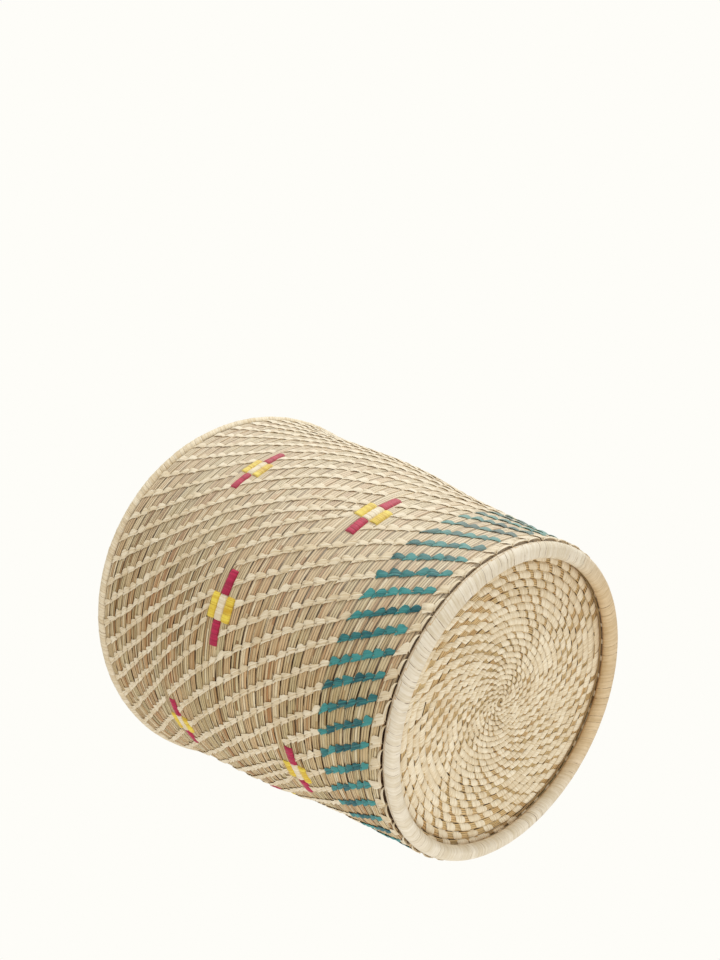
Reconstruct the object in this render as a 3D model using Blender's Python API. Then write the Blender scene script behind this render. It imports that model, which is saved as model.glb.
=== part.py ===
"""A coiled planter basket: a grass coil sewn round and round into a base and a flaring wall.

Every piece is turned about the basket's upright axis, or is a short binding laid over one coil. Then all of
them are moved alike out of round, because the basket was shaped by hand.
Run it with blender --background --python part.py, or from Blender's text editor.
"""
import math

import bmesh
import bpy
import numpy as np

# Driving sizes in metres. The basket stands upright on z = 0, with its axis on the Z axis.
HEIGHT = 0.2585           # from the underside of the foot ring to the top of the rim
FOOT_RADIUS = 0.1025      # over the outside of the foot ring
MOUTH_RADIUS = 0.1345     # over the outside of the rim
WALL_THICKNESS = 0.0075   # one coil, from the outside of the wall to the inside
RIB_DEPTH = 0.0015        # how far the joint between two coils lies below their crests
FOOT_TUBE = 0.0100        # diameter of the wrapped coil that the basket stands on
FOOT_FLAT = 0.0005        # how deep that coil is pressed flat where it stands
RIM_TUBE = 0.0065         # diameter of the wrapped coil round the mouth
BASE_THICKNESS = 0.0060   # the sewn disc that closes the bottom
BASE_DOME = 0.0030        # how far the middle of that disc is pushed up
SEAT = 0.0003             # clearance between two pieces that are sewn together
WRAP_THICKNESS = 0.0010   # how far a binding stands out from the coil that it covers
BOW = 0.0040              # how far the middle of the wall leans to one side
MOUTH_OVAL = 0.0035       # how much further than round the mouth reaches one way, and less far the other way
PRESSED_ROUND = 0.0019    # how far the foot is pressed in all round,
PRESSED_SIDE = 0.00225    # how much further on one side, and less far on the other,
PRESSED_OVAL = 0.0014     # and how much further along that side, and less far across it
PRESSED_HEIGHT = 0.0450   # up to where the foot is pressed in

BOW_TOWARDS = 52          # degrees round the basket
OVAL_ALONG = 83
PRESSED_AT = 110

# How far the wall has flared from foot to mouth, at shares of the height.
FLARE_SHARES = (
    (0.00, 0.00), (0.12, 0.08), (0.26, 0.20), (0.41, 0.35), (0.55, 0.56),
    (0.70, 0.69), (0.82, 0.76), (0.90, 0.83), (0.96, 0.91), (1.00, 1.00),
)
# Height of a course as a share of the lowest one's: the maker's coil gets thinner on the way up.
COURSE_SHARES = ((0.00, 1.00), (0.42, 1.00), (0.72, 0.79), (1.00, 0.76))
# The base coil also starts thin: this share of its radius grows evenly with the turns, the rest by squares.
EVEN_TURN_SHARE = 0.65
# The bulge of a binding over its coil: (share of the course's height, share of the binding's thickness).
BULGE_SHARES = ((0.00, 0.55), (0.25, 0.90), (0.50, 1.00), (0.75, 0.90), (1.00, 0.55))

STRAW = (0.50, 0.38, 0.20)
PALE_PALM = (0.74, 0.65, 0.47)
TEAL = (0.09, 0.25, 0.22)
MAGENTA = (0.36, 0.02, 0.09)
YELLOW = (0.68, 0.42, 0.03)

BASE_TURNS = 23
# The wall from the foot up: name of a band, how many courses of the coil it has, and its colour.
BANDS = (
    ("wall_foot_course", 1, STRAW), ("wall_teal_courses", 6, TEAL), ("wall_lower_courses", 9, STRAW),
    ("wall_middle_courses", 8, STRAW), ("wall_upper_courses", 8, STRAW), ("wall_flare_courses", 8, STRAW),
)
COURSES = sum(count for _, count, _ in BANDS)
# Rows of motifs: name, how long one binding is along its coil, and each motif's course and its angle in
# degrees, which the maker spaced by eye.
MOTIF_ROWS = (
    ("lower", 0.0137, ((12, 35), (11, 125), (11, 213), (12, 308))),
    ("middle", 0.0160, ((20, 16), (20, 92), (20, 176), (20, 260))),
    ("upper", 0.0142, ((28, 35), (28, 125), (28, 214), (28, 304))),
)
BAR_WRAPS = 3             # the centre coil of a motif carries three bindings side by side

SEGMENTS = 36             # facets round the basket
TUBE_SIDES = 10           # facets round a wrapped coil
WRAP_STEPS = 2            # facets along one binding
PROFILE_STEPS = 400       # samples of the wall's profile, for measuring along it
UPPER_POINTS = 6          # points on the smooth upper side of the base, from its edge to its middle
MERGE_SHARE = 0.001       # points nearer than this share of a seat are one point
SHARP_ANGLE = 50          # degrees between two faces from which their edge is drawn sharp


def smooth(place, knots):
    """The value at place on a smooth curve through (place, value) knots."""
    places, values = np.array(knots).T
    slopes = np.gradient(values, places)
    left = np.clip(np.searchsorted(places, place) - 1, 0, len(places) - 2)
    width = places[left + 1] - places[left]
    t = (place - places[left]) / width
    ends = (1 + 2 * t) * (1 - t) ** 2 * values[left] + t * t * (3 - 2 * t) * values[left + 1]
    leans = t * (1 - t) ** 2 * slopes[left] + t * t * (t - 1) * slopes[left + 1]
    return ends + leans * width


class Wall:
    """The outside of the wall as a line to measure along, from above the foot ring to under the rim."""

    def __init__(self):
        self.low = FOOT_TUBE - FOOT_FLAT + SEAT
        self.z = np.linspace(self.low, HEIGHT - RIM_TUBE - SEAT, PROFILE_STEPS)
        self.r = FOOT_RADIUS + (MOUTH_RADIUS - FOOT_RADIUS) * smooth(self.z / HEIGHT, FLARE_SHARES)
        steps = np.hypot(np.diff(self.r), np.diff(self.z))
        self.arc = np.concatenate([[0], np.cumsum(steps)])
        self.out_r = np.gradient(self.z, self.arc)
        self.out_z = -np.gradient(self.r, self.arc)
        middles = (np.arange(COURSES) + 0.5) / COURSES
        shares = smooth(middles, COURSE_SHARES)
        self.edges = self.arc[-1] * np.concatenate([[0], np.cumsum(shares)]) / shares.sum()

    def point(self, arc, depth=0.0):
        """(radius, height) at a length along the wall and a depth into it. A negative depth stands out."""
        at = [np.interp(arc, self.arc, values) for values in (self.r, self.z, self.out_r, self.out_z)]
        return at[0] - depth * at[2], at[1] - depth * at[3]


def finish(name, colour, roughness=0.7):
    material = bpy.data.materials.new(name)
    material.use_nodes = True
    shader = material.node_tree.nodes["Principled BSDF"]
    shader.inputs["Base Color"].default_value = (*colour, 1)
    shader.inputs["Roughness"].default_value = roughness
    shader.inputs["Metallic"].default_value = 0
    material.diffuse_color = (*colour, 1)
    return material


def hand_made(point):
    """Where a point of the turned basket lies on the one that was shaped by hand. It keeps its height."""
    rise = min(max(point.z / HEIGHT, 0), 1)
    low = math.cos(math.pi / 2 * min(max(point.z / PRESSED_HEIGHT, 0), 1)) ** 2
    angle = math.atan2(point.y, point.x)
    side = angle - math.radians(PRESSED_AT)
    pressed = low * (PRESSED_ROUND + PRESSED_SIDE * math.cos(side) + PRESSED_OVAL * math.cos(2 * side))
    oval = MOUTH_OVAL * rise * math.cos(2 * (angle - math.radians(OVAL_ALONG)))
    grow = 1 + oval / MOUTH_RADIUS - pressed / FOOT_RADIUS
    lean = BOW * math.sin(math.pi * rise)
    x = point.x * grow + lean * math.cos(math.radians(BOW_TOWARDS))
    y = point.y * grow + lean * math.sin(math.radians(BOW_TOWARDS))
    return x, y, point.z


def add_piece(name, bm, colour, planter):
    """Makes the mesh an object of its own, shaped by hand, with faces out and smooth round bends."""
    bmesh.ops.remove_doubles(bm, verts=bm.verts, dist=SEAT * MERGE_SHARE)
    bmesh.ops.recalc_face_normals(bm, faces=bm.faces)
    for vert in bm.verts:
        vert.co = hand_made(vert.co)
    mesh = bpy.data.meshes.new(name)
    bm.to_mesh(mesh)
    bm.free()
    mesh.shade_smooth()
    mesh.set_sharp_from_angle(angle=math.radians(SHARP_ANGLE))
    mesh.materials.append(finish(name + "_finish", colour))
    piece = bpy.data.objects.new(name, mesh)
    bpy.context.scene.collection.objects.link(piece)
    piece.parent = planter
    return piece


def outline_verts(bm, outline, turn=0.0):
    """The outline's (radius, height) points, standing in the half plane at an angle about Z."""
    return [bm.verts.new((r * math.cos(turn), r * math.sin(turn), z)) for r, z in outline]


def turned(name, outline, colour, planter, ring=True):
    """A piece turned about Z: a closed outline makes a ring, and one from axis to axis makes a disc."""
    bm = bmesh.new()
    verts = outline_verts(bm, outline)
    ends = zip(verts, verts[1:] + verts[:1] if ring else verts[1:])
    edges = [bm.edges.new(pair) for pair in ends]
    bmesh.ops.spin(bm, geom=verts + edges, axis=(0, 0, 1), angle=math.tau, steps=SEGMENTS, use_merge=True)
    return add_piece(name, bm, colour, planter)


def coil_outline(radius, height, diameter, flat=0.0):
    """The round section of a wrapped coil, with its lowest part cut off flat."""
    half = diameter / 2
    start = math.acos((half - flat) / half) if flat else 0.0
    turns = np.linspace(start, math.tau - start, TUBE_SIDES + 1 if flat else TUBE_SIDES, endpoint=bool(flat))
    return [(radius + half * math.sin(t), height - half * math.cos(t)) for t in turns]


def ribs(first, count, crest_depth, joint_depth, wall):
    """(arc, depth) along one face of some courses: a crest on each, and a joint between each two."""
    line = [(wall.edges[first], joint_depth)]
    for course in range(first, first + count):
        crest = (wall.edges[course] + wall.edges[course + 1]) / 2
        line += [(crest, crest_depth), (wall.edges[course + 1], joint_depth)]
    return line


def wall_band(name, first, count, colour, wall, planter):
    """Several courses of the wall in one piece: ribbed on both faces, with square ends that leave a seat."""
    outer = ribs(first, count, 0.0, RIB_DEPTH, wall)
    inner = ribs(first, count, WALL_THICKNESS, WALL_THICKNESS - RIB_DEPTH, wall)
    low, high = wall.edges[first] + SEAT / 2, wall.edges[first + count] - SEAT / 2
    line = [(min(max(arc, low), high), depth) for arc, depth in outer + inner[::-1]]
    return turned(name, [wall.point(*spot) for spot in line], colour, planter)


def base_disc(wall, planter):
    """The sewn disc, with the turns of its coil as ribs underneath and its middle pushed up."""
    edge_radius = min(wall.point(arc, WALL_THICKNESS)[0] for arc in wall.edges[:2]) - SEAT

    def underside(radius):
        return wall.low + BASE_DOME * (1 - (radius / edge_radius) ** 2)

    turns = np.arange(2 * BASE_TURNS + 1) / (2 * BASE_TURNS)
    radii = edge_radius * (EVEN_TURN_SHARE * turns + (1 - EVEN_TURN_SHARE) * turns ** 2)
    lower = [(r, underside(r) + (0 if i % 2 else RIB_DEPTH)) for i, r in enumerate(radii)]
    upper = [(r, underside(r) + BASE_THICKNESS) for r in np.linspace(edge_radius, 0, UPPER_POINTS)]
    return turned("base_coil", lower + upper, STRAW, planter, ring=False)


def binding(name, course, angle, wraps, width, colour, wall, planter):
    """Palm strip wound closely over one coil, lying on the outside of the wall."""
    low, high = wall.edges[course] + SEAT, wall.edges[course + 1] - SEAT
    crest = (low + high) / 2
    under = [(low, RIB_DEPTH - SEAT), (crest, -SEAT), (high, RIB_DEPTH - SEAT)]
    over = []
    for share, bulge in BULGE_SHARES:
        arc = low + share * (high - low)
        seat = np.interp(arc, [low, crest, high], [depth for _, depth in under])
        over.append((arc, seat - bulge * WRAP_THICKNESS))
    outline = [wall.point(*spot) for spot in under + over[::-1]]
    sweep = wraps * width / wall.point(crest)[0]
    bm = bmesh.new()
    verts = outline_verts(bm, outline, math.radians(angle) - sweep / 2)
    face = bm.faces.new(verts)
    geometry = verts + list(face.edges) + [face]
    bmesh.ops.spin(bm, geom=geometry, axis=(0, 0, 1), angle=sweep, steps=WRAP_STEPS * wraps)
    return add_piece(name, bm, colour, planter)


def motif(name, course, angle, width, wall, planter):
    """A small cross: a bar of three bindings on one coil, and a yellow one on the coil above and below."""
    binding(name + "_bar", course, angle, BAR_WRAPS, width, MAGENTA, wall, planter)
    binding(name + "_yellow_above", course + 1, angle, 1, width, YELLOW, wall, planter)
    binding(name + "_yellow_below", course - 1, angle, 1, width, YELLOW, wall, planter)


def build():
    for obj in list(bpy.data.objects):
        bpy.data.objects.remove(obj)
    planter = bpy.data.objects.new("planter", None)
    bpy.context.scene.collection.objects.link(planter)
    wall = Wall()
    foot_middle = FOOT_RADIUS - FOOT_TUBE / 2
    foot = coil_outline(foot_middle, FOOT_TUBE / 2 - FOOT_FLAT, FOOT_TUBE, FOOT_FLAT)
    turned("foot_ring", foot, PALE_PALM, planter)
    base_disc(wall, planter)
    first = 0
    for name, count, colour in BANDS:
        wall_band(name, first, count, colour, wall, planter)
        first += count
    rim = coil_outline(MOUTH_RADIUS - RIM_TUBE / 2, HEIGHT - RIM_TUBE / 2, RIM_TUBE)
    turned("rim_coil", rim, PALE_PALM, planter)
    for row, width, spots in MOTIF_ROWS:
        for number, (course, angle) in enumerate(spots, 1):
            motif(f"{row}_motif_{number}", course, angle, width, wall, planter)


build()
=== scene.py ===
# %% [markdown]
# A coiled planter basket. The maker lays a bundle of dry grass round and round, and sews each turn to the
# one below it with a strip of palm leaf. Nothing here is woven: the basket is one long coil and thousands
# of short stitches. So this lesson makes one coil and one stitch well, and lets loops do the rest.

# %% The frame, and the modules that the lesson uses
import math
from functools import partialmethod

import bmesh
import bpy
import numpy as np
from mathutils import Matrix, Vector


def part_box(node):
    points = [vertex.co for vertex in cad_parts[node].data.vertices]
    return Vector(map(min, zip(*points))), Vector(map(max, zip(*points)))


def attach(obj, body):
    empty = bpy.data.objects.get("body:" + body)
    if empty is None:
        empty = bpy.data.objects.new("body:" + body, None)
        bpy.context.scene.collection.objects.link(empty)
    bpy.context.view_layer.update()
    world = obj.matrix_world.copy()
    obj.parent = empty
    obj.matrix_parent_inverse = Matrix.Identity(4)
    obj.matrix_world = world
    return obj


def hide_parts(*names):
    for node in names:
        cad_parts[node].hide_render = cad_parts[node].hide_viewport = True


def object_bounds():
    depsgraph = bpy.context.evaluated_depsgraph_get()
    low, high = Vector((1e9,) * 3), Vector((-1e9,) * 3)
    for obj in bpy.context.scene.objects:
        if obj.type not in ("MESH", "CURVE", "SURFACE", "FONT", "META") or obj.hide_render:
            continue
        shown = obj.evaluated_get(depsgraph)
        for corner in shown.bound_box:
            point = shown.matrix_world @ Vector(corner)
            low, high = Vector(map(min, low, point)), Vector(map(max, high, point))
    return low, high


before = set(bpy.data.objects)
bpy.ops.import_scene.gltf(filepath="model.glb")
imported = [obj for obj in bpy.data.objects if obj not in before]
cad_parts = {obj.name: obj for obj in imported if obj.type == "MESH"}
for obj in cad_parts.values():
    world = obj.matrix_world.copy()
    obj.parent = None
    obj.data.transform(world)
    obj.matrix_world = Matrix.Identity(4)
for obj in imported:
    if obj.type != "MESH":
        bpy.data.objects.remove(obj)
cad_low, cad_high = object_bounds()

MM = 0.001
link = bpy.context.scene.collection.objects.link
HEIGHT = cad_high.z - cad_low.z
rng = np.random.default_rng(11)
print(f"the frame holds {len(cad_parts)} pieces and is {HEIGHT / MM:.0f} mm tall")

# %% [markdown]
# The basket in the photograph lies as if it had rolled towards us, with its base to the right. It could be
# laid down, but then every piece would lie on a slant. It is simpler to leave it upright and to hold the
# camera low and turned, so that the picture comes out the same.

# %% The camera
AIM = Vector((-0.0016, -0.0060, 0.1353))  # the point on the basket's axis that the lens looks at
AZIMUTH = 0.25  # degrees round the basket from its -Y side
ELEVATION = -43.57  # degrees: negative, so the camera looks up at the base
ROLL = -65.07  # degrees that the camera is turned about its own line of sight
DISTANCE = 0.7565
LENS = 41.86  # millimetres, on a sensor 36 mm long
SENSOR = 36
PICTURE_HEIGHT = 960  # pixels
LENS_AXIS_BELOW_MIDDLE = 160  # pixels: the photograph is the upper part of a taller view

turn, rise = math.radians(AZIMUTH), math.radians(ELEVATION)
back = Vector((math.sin(turn) * math.cos(rise), -math.cos(turn) * math.cos(rise), math.sin(rise)))
camera_data = bpy.data.cameras.new("camera")
camera_data.lens = LENS
camera_data.sensor_width = SENSOR
camera_data.shift_y = LENS_AXIS_BELOW_MIDDLE / PICTURE_HEIGHT
camera_data.clip_start = 0.01
camera = bpy.data.objects.new("camera", camera_data)
facing = (-back).to_track_quat("-Z", "Y").to_matrix().to_4x4()
rolled = Matrix.Rotation(math.radians(ROLL), 4, "Z")
camera.matrix_world = Matrix.Translation(AIM + back * DISTANCE) @ facing @ rolled
link(camera)
bpy.context.scene.camera = camera
bpy.context.scene.view_settings.view_transform = "Standard"
print("camera at", [round(value, 3) for value in camera.matrix_world.translation])

# %% [markdown]
# A pattern is easier to read as a sum than as a web of nodes. Sum wraps one socket of a node, so that
# 1 - mask * 0.5 adds the Math nodes by itself. Colours go through Mix nodes, because a Math node would turn
# them grey.

# %% Shader sums
class Sum:
    """A number that changes over a surface: the output socket of a node, with its sums."""

    def __init__(self, finish, socket):
        self.finish = finish
        self.socket = socket

    def math(self, operation, *others):
        """This number and the others, put through a Math node."""
        node = self.finish.add("ShaderNodeMath", dict(enumerate((self, *others))), operation=operation)
        return Sum(self.finish, node.outputs[0])

    __add__ = __radd__ = partialmethod(math, "ADD")
    __sub__ = partialmethod(math, "SUBTRACT")
    __mul__ = partialmethod(math, "MULTIPLY")
    __truediv__ = partialmethod(math, "DIVIDE")
    least = partialmethod(math, "MINIMUM")
    most = partialmethod(math, "MAXIMUM")
    floor = partialmethod(math, "FLOOR")
    fract = partialmethod(math, "FRACT")

    def __rsub__(self, other):
        return self.math("MULTIPLY_ADD", -1, other)

    def off(self, place):
        """How far the number is from a place, either way."""
        return (self - place).math("ABSOLUTE")

    def between(self, low, high):
        """0 below low, 1 above high, and a soft step between them."""
        values = {"Value": self, "From Min": low, "From Max": high}
        node = self.finish.add("ShaderNodeMapRange", values, interpolation_type="SMOOTHSTEP")
        return Sum(self.finish, node.outputs["Result"])


class Finish:
    """The nodes of a material, or of the world, which all come from add()."""

    def __init__(self, name, owners=bpy.data.materials):
        self.owner = owners.new(name)
        self.owner.use_nodes = True
        self.tree = self.owner.node_tree
        self.shader = self.tree.nodes.get("Principled BSDF")

    def add(self, kind, values=(), **settings):
        """A node of this kind, with the values or links of its sockets, and its settings."""
        node = self.tree.nodes.new(kind)
        for setting, value in settings.items():
            if setting == "stops":
                self.set_stops(node.color_ramp, value)
            else:
                setattr(node, setting, value)
        for socket, value in dict(values).items():
            self.give(node.inputs[socket], value)
        return node

    def give(self, socket, value):
        if isinstance(value, Sum):
            self.tree.links.new(value.socket, socket)
        elif isinstance(value, bpy.types.NodeSocket):
            self.tree.links.new(value, socket)
        else:
            socket.default_value = value

    @staticmethod
    def set_stops(ramp, stops):
        while len(ramp.elements) < len(stops):
            ramp.elements.new(1)
        for element, (place, colour) in zip(ramp.elements, stops):
            element.position = place
            element.color = shade(*colour)

    def lay(self):
        """The piece's own pattern: its attribute named lay, as three numbers."""
        spot = self.add("ShaderNodeAttribute", attribute_name="lay")
        parts = self.add("ShaderNodeSeparateXYZ", {0: spot.outputs["Vector"]})
        return [Sum(self, output) for output in parts.outputs]

    def spot(self, x, y, z):
        return self.add("ShaderNodeCombineXYZ", {0: x, 1: y, 2: z}).outputs[0]

    def noise(self, x, y, z=0.0, detail=2.0):
        """Soft noise from 0 to 1 at a place, one cell a unit."""
        values = {"Vector": self.spot(x, y, z), "Scale": 1.0, "Detail": detail}
        return Sum(self, self.add("ShaderNodeTexNoise", values).outputs[0])

    def chance(self, x, y=0.0, z=0.0):
        """A number from 0 to 1 that is the same all over one unit cell."""
        node = self.add("ShaderNodeTexWhiteNoise", {"Vector": self.spot(x, y, z)})
        return Sum(self, node.outputs["Value"])

    def ramp(self, place, stops):
        return self.add("ShaderNodeValToRGB", {0: place}, stops=stops).outputs[0]

    def mix(self, one, other, share, blend="MIX"):
        """A colour between two colours, or the two multiplied."""
        values = {0: share, 6: one, 7: other}
        return self.add("ShaderNodeMix", values, data_type="RGBA", blend_type=blend).outputs[2]

    def side(self, angle, reach):
        """0 near the basket's axis and 1 far out on the side at this angle, between two distances."""
        place = self.add("ShaderNodeTexCoord").outputs["Object"]
        towards = (math.cos(angle), math.sin(angle), 0.0)
        out = self.add("ShaderNodeVectorMath", {0: place, 1: towards}, operation="DOT_PRODUCT")
        return Sum(self, out.outputs["Value"]).between(*reach)

    def paint(self, colour, roughness, gloss, relief, depth):
        """Feeds the shader, with a relief that is this deep in metres where it is 1."""
        bump = self.add("ShaderNodeBump", {"Height": relief, "Distance": depth, "Strength": 1.0})
        values = {"Base Color": colour, "Roughness": roughness, "Specular IOR Level": gloss}
        for socket, value in (*values.items(), ("Normal", bump.outputs[0])):
            self.give(self.shader.inputs[socket], value)


def shade(red, green, blue):
    """A linear colour from the 0 to 255 values that a screen shows."""
    parts = [value / 255 for value in (red, green, blue)]
    return (*[p / 12.92 if p <= 0.04045 else ((p + 0.055) / 1.055) ** 2.4 for p in parts], 1.0)


print("Sum and Finish are ready")

# %% [markdown]
# The photograph's background is one warm white. The world gives it to the camera, and a softer light to the
# basket. A cool window lamp stands above the picture, and a faint one lights the base from the lower left.
# The floor is a plain disc that shows only from above, because the camera of the photograph looks from below
# it. It fades into the background with distance, and keeps the basket's shadow.

# %% World, floor and lamps
BACKGROUND = shade(254, 253, 248)
AMBIENT, AMBIENT_COLOUR = 0.79, (1.0, 0.965, 0.91, 1.0)
FLOOR_PAINT = shade(244, 242, 236)
FLOOR_RADIUS = 3.0
FLOOR_FADE = (0.35, 0.9)  # metres from the basket's axis: where the fading starts and ends
LAMPS = (
    # name, direction (shares of towards the base, right and up in the picture), distance and size in
    # metres, watts, colour
    ("window", (0.20, 0.0, 1.0), 1.3, 0.9, 8.5, (0.92, 0.97, 1.0)),
    ("bounce", (1.0, -0.35, -0.5), 0.8, 0.5, 1.45, (1.0, 0.98, 0.94)),
)


def make_world():
    finish = Finish("studio", bpy.data.worlds)
    bpy.context.scene.world = finish.owner
    light = finish.tree.nodes["Background"]
    finish.give(light.inputs["Color"], AMBIENT_COLOUR)
    finish.give(light.inputs["Strength"], AMBIENT)
    seen = finish.add("ShaderNodeBackground", {"Color": BACKGROUND})
    rays = finish.add("ShaderNodeLightPath").outputs
    names = ("Is Camera Ray", "Is Glossy Ray", "Is Transmission Ray")
    looked, mirrored, through = [Sum(finish, rays[name]) for name in names]
    direct = looked.most(mirrored.most(through))
    mixed = finish.add("ShaderNodeMixShader", {0: direct, 1: light.outputs[0], 2: seen.outputs[0]})
    finish.give(finish.tree.nodes["World Output"].inputs["Surface"], mixed.outputs[0])


def make_floor():
    bm = bmesh.new()
    bmesh.ops.create_circle(bm, cap_ends=True, segments=96, radius=FLOOR_RADIUS)
    mesh = bpy.data.meshes.new("floor")
    bm.to_mesh(mesh)
    bm.free()
    finish = Finish("floor_paint")
    finish.give(finish.shader.inputs["Base Color"], FLOOR_PAINT)
    finish.give(finish.shader.inputs["Roughness"], 0.9)
    place = finish.add("ShaderNodeTexCoord").outputs["Object"]
    away = finish.add("ShaderNodeVectorMath", {0: place}, operation="LENGTH").outputs["Value"]
    far = Sum(finish, away).between(*FLOOR_FADE)
    glow = finish.add("ShaderNodeEmission", {"Color": BACKGROUND})
    lightened = finish.add("ShaderNodeMixShader", {0: far, 1: finish.shader.outputs[0], 2: glow.outputs[0]})
    below = finish.add("ShaderNodeNewGeometry").outputs["Backfacing"]
    clear = finish.add("ShaderNodeBsdfTransparent")
    whole = finish.add("ShaderNodeMixShader", {0: below, 1: lightened.outputs[0], 2: clear.outputs[0]})
    finish.give(finish.tree.nodes["Material Output"].inputs["Surface"], whole.outputs[0])
    mesh.materials.append(finish.owner)
    floor = bpy.data.objects.new("floor", mesh)
    link(floor)
    floor.visible_shadow = False
    floor.visible_diffuse = False
    floor.visible_glossy = False


def make_lamp(name, shares, distance, size, watts, colour):
    """A square lamp that faces the basket, in the direction that these shares make."""
    data = bpy.data.lights.new(name, "AREA")
    data.size = size
    data.energy = watts
    data.color = colour
    lamp = bpy.data.objects.new(name, data)
    turned = camera.matrix_world.to_3x3()
    ways = (Vector((0, 0, -1)), turned @ Vector((1, 0, 0)), turned @ Vector((0, 1, 0)))
    towards = sum((share * way for share, way in zip(shares, ways)), Vector()).normalized()
    facing = towards.to_track_quat("Z", "Y").to_matrix().to_4x4()
    centre = Vector((0, 0, HEIGHT / 2))
    lamp.matrix_world = Matrix.Translation(centre + towards * distance) @ facing
    link(lamp)
    print("the", name, "stands towards", [round(value, 2) for value in towards])


make_world()
make_floor()
for settings in LAMPS:
    make_lamp(*settings)

# %% [markdown]
# A hand-sewn basket is never quite round. In the photograph the mouth is a little longer one way than the
# other, the middle of the wall leans to one side, and the foot is pressed in. The CAD pieces have this shape
# too. Here the coil is laid out on a round basket, because sums are easier there, and one function then
# moves every point of every piece alike, but only sideways, so the foot stays on the floor. A second one
# brings a point back to the round basket: it guesses, sees how far off it lands, and mends it by as much.

# %% The hand-made shape
MOUTH_RADIUS = 134.5 * MM
FOOT_RADIUS = 102.5 * MM
BOW = 4.0 * MM  # how far the middle of the wall leans
BOW_TOWARDS = math.radians(52)
MOUTH_OVAL = 3.5 * MM  # how much further than round the mouth reaches one way
OVAL_ALONG = math.radians(83)
PRESSED = (1.9 * MM, 2.25 * MM, 1.4 * MM)  # how far in the foot is: all round, on one side, as an oval
PRESSED_AT = math.radians(110)
PRESSED_HEIGHT = 45 * MM
GUESSES = 8
# how the rows stray: waves round the basket, their turn from one course to the next, start, size in courses
WANDER = ((2, 0.21, 0.4, 0.075), (3, -0.17, 2.1, 0.065), (5, 0.33, 4.0, 0.05), (8, -0.52, 1.2, 0.03))


def hand_made(points):
    """The points of the round basket as a maker's hands would leave them."""
    x, y, z = np.moveaxis(np.asarray(points), -1, 0)
    rise = np.clip(z / HEIGHT, 0, 1)
    low = np.cos(math.pi / 2 * np.clip(z / PRESSED_HEIGHT, 0, 1)) ** 2
    angle = np.arctan2(y, x)
    side = angle - PRESSED_AT
    pressed = low * (PRESSED[0] + PRESSED[1] * np.cos(side) + PRESSED[2] * np.cos(2 * side))
    oval = MOUTH_OVAL * rise * np.cos(2 * (angle - OVAL_ALONG))
    grow = 1 + oval / MOUTH_RADIUS - pressed / FOOT_RADIUS
    lean = BOW * np.sin(math.pi * rise)
    x = x * grow + lean * math.cos(BOW_TOWARDS)
    y = y * grow + lean * math.sin(BOW_TOWARDS)
    return np.stack([x, y, z], -1)


def around_axis(radius, angle, height):
    """Points at these places round the basket's axis, as a maker's hands would leave them."""
    return hand_made(np.stack([radius * np.cos(angle), radius * np.sin(angle), height], -1))


def on_the_round(spot):
    """(radius, height) on the round basket of a spot on the hand-made one."""
    guess = np.array(spot)
    for _ in range(GUESSES):
        guess = guess + np.array(spot) - hand_made(guess)
    return math.hypot(guess[0], guess[1]), guess[2]


def wander(angle, course):
    """How far the rows stray up or down from level, in courses."""
    return sum(size * np.sin(count * angle + climb * course + start) for count, climb, start, size in WANDER)


# %% [markdown]
# The CAD wall is ribbed: each rib is one turn of the coil. A feeler that slides along it finds every crest,
# so this script needs no list of sizes. Along the base the feeler slides outwards from the middle, and along
# the wall it slides upwards.

# %% Feel the ribs of the base and the wall
FEELER_STEP = 0.15 * MM
FEELER_REACH = 0.06
CLEAR = 0.01  # metres outside the basket, where the feeler starts
ASIDE = 0.00001  # keeps the feeler off the facets' shared edge
INWARDS, UPWARDS = Vector((-1, 0, 0)), Vector((0, 0, 1))


def touch(names, start, direction):
    """The first spot that a straight feeler meets on these pieces of the frame, or None."""
    spots = []
    for name in names:
        met, spot, _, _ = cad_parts[name].ray_cast(start, direction, distance=FEELER_REACH)
        if met:
            spots.append(spot)
    return min(spots, key=lambda spot: (spot - start).length, default=None)


def feel_crests(names, starts, direction):
    """(radius, height) on the round basket of each rib's crest, felt from a line of starting points."""
    starts = [Vector(start) for start in hand_made(starts)]
    felt = [(start, touch(names, start, direction)) for start in starts]
    felt = [(start, spot) for start, spot in felt if spot is not None]
    gaps = [(spot - start).length for start, spot in felt]
    inner = range(1, len(gaps) - 1)
    crests = [felt[i][1] for i in inner if gaps[i] <= gaps[i - 1] and gaps[i] < gaps[i + 1]]
    return [on_the_round(spot) for spot in crests]


bpy.context.view_layer.update()
wall_names = sorted((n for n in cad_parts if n.startswith("wall_")), key=lambda n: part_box(n)[0].z)
wall_low, wall_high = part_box(wall_names[0])[0].z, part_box(wall_names[-1])[1].z
outside = cad_high.x + CLEAR
wall_starts = [(outside, ASIDE, z) for z in np.arange(wall_low, wall_high, FEELER_STEP)]
wall_crests = feel_crests(wall_names, wall_starts, INWARDS)
base_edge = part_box("base_coil")[1].x
base_starts = [(r, ASIDE, -CLEAR) for r in np.arange(FEELER_STEP, base_edge, FEELER_STEP)]
base_crests = feel_crests(["base_coil"], base_starts, UPWARDS)
print(f"the wall has {len(wall_crests)} ribs and the base {len(base_crests)}")

# %% [markdown]
# Rows turns a place on the sewn surface into a place in space. A place is an angle round the basket, a
# course counted along the rows, and a depth under their crests. With it, a coil or a stitch can be laid out
# flat and then wrapped on. The line of crests could be smoothed with a curve object, but its points are so
# close together that straight runs between them can't be told from one.

# %% Rows, the surface that everything is laid on
SEAM_ANGLE = math.radians(90)  # the far side, where the coil's turns are counted from
CALM = 3  # courses next to the foot and the rim, over which the rows settle to level


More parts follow.
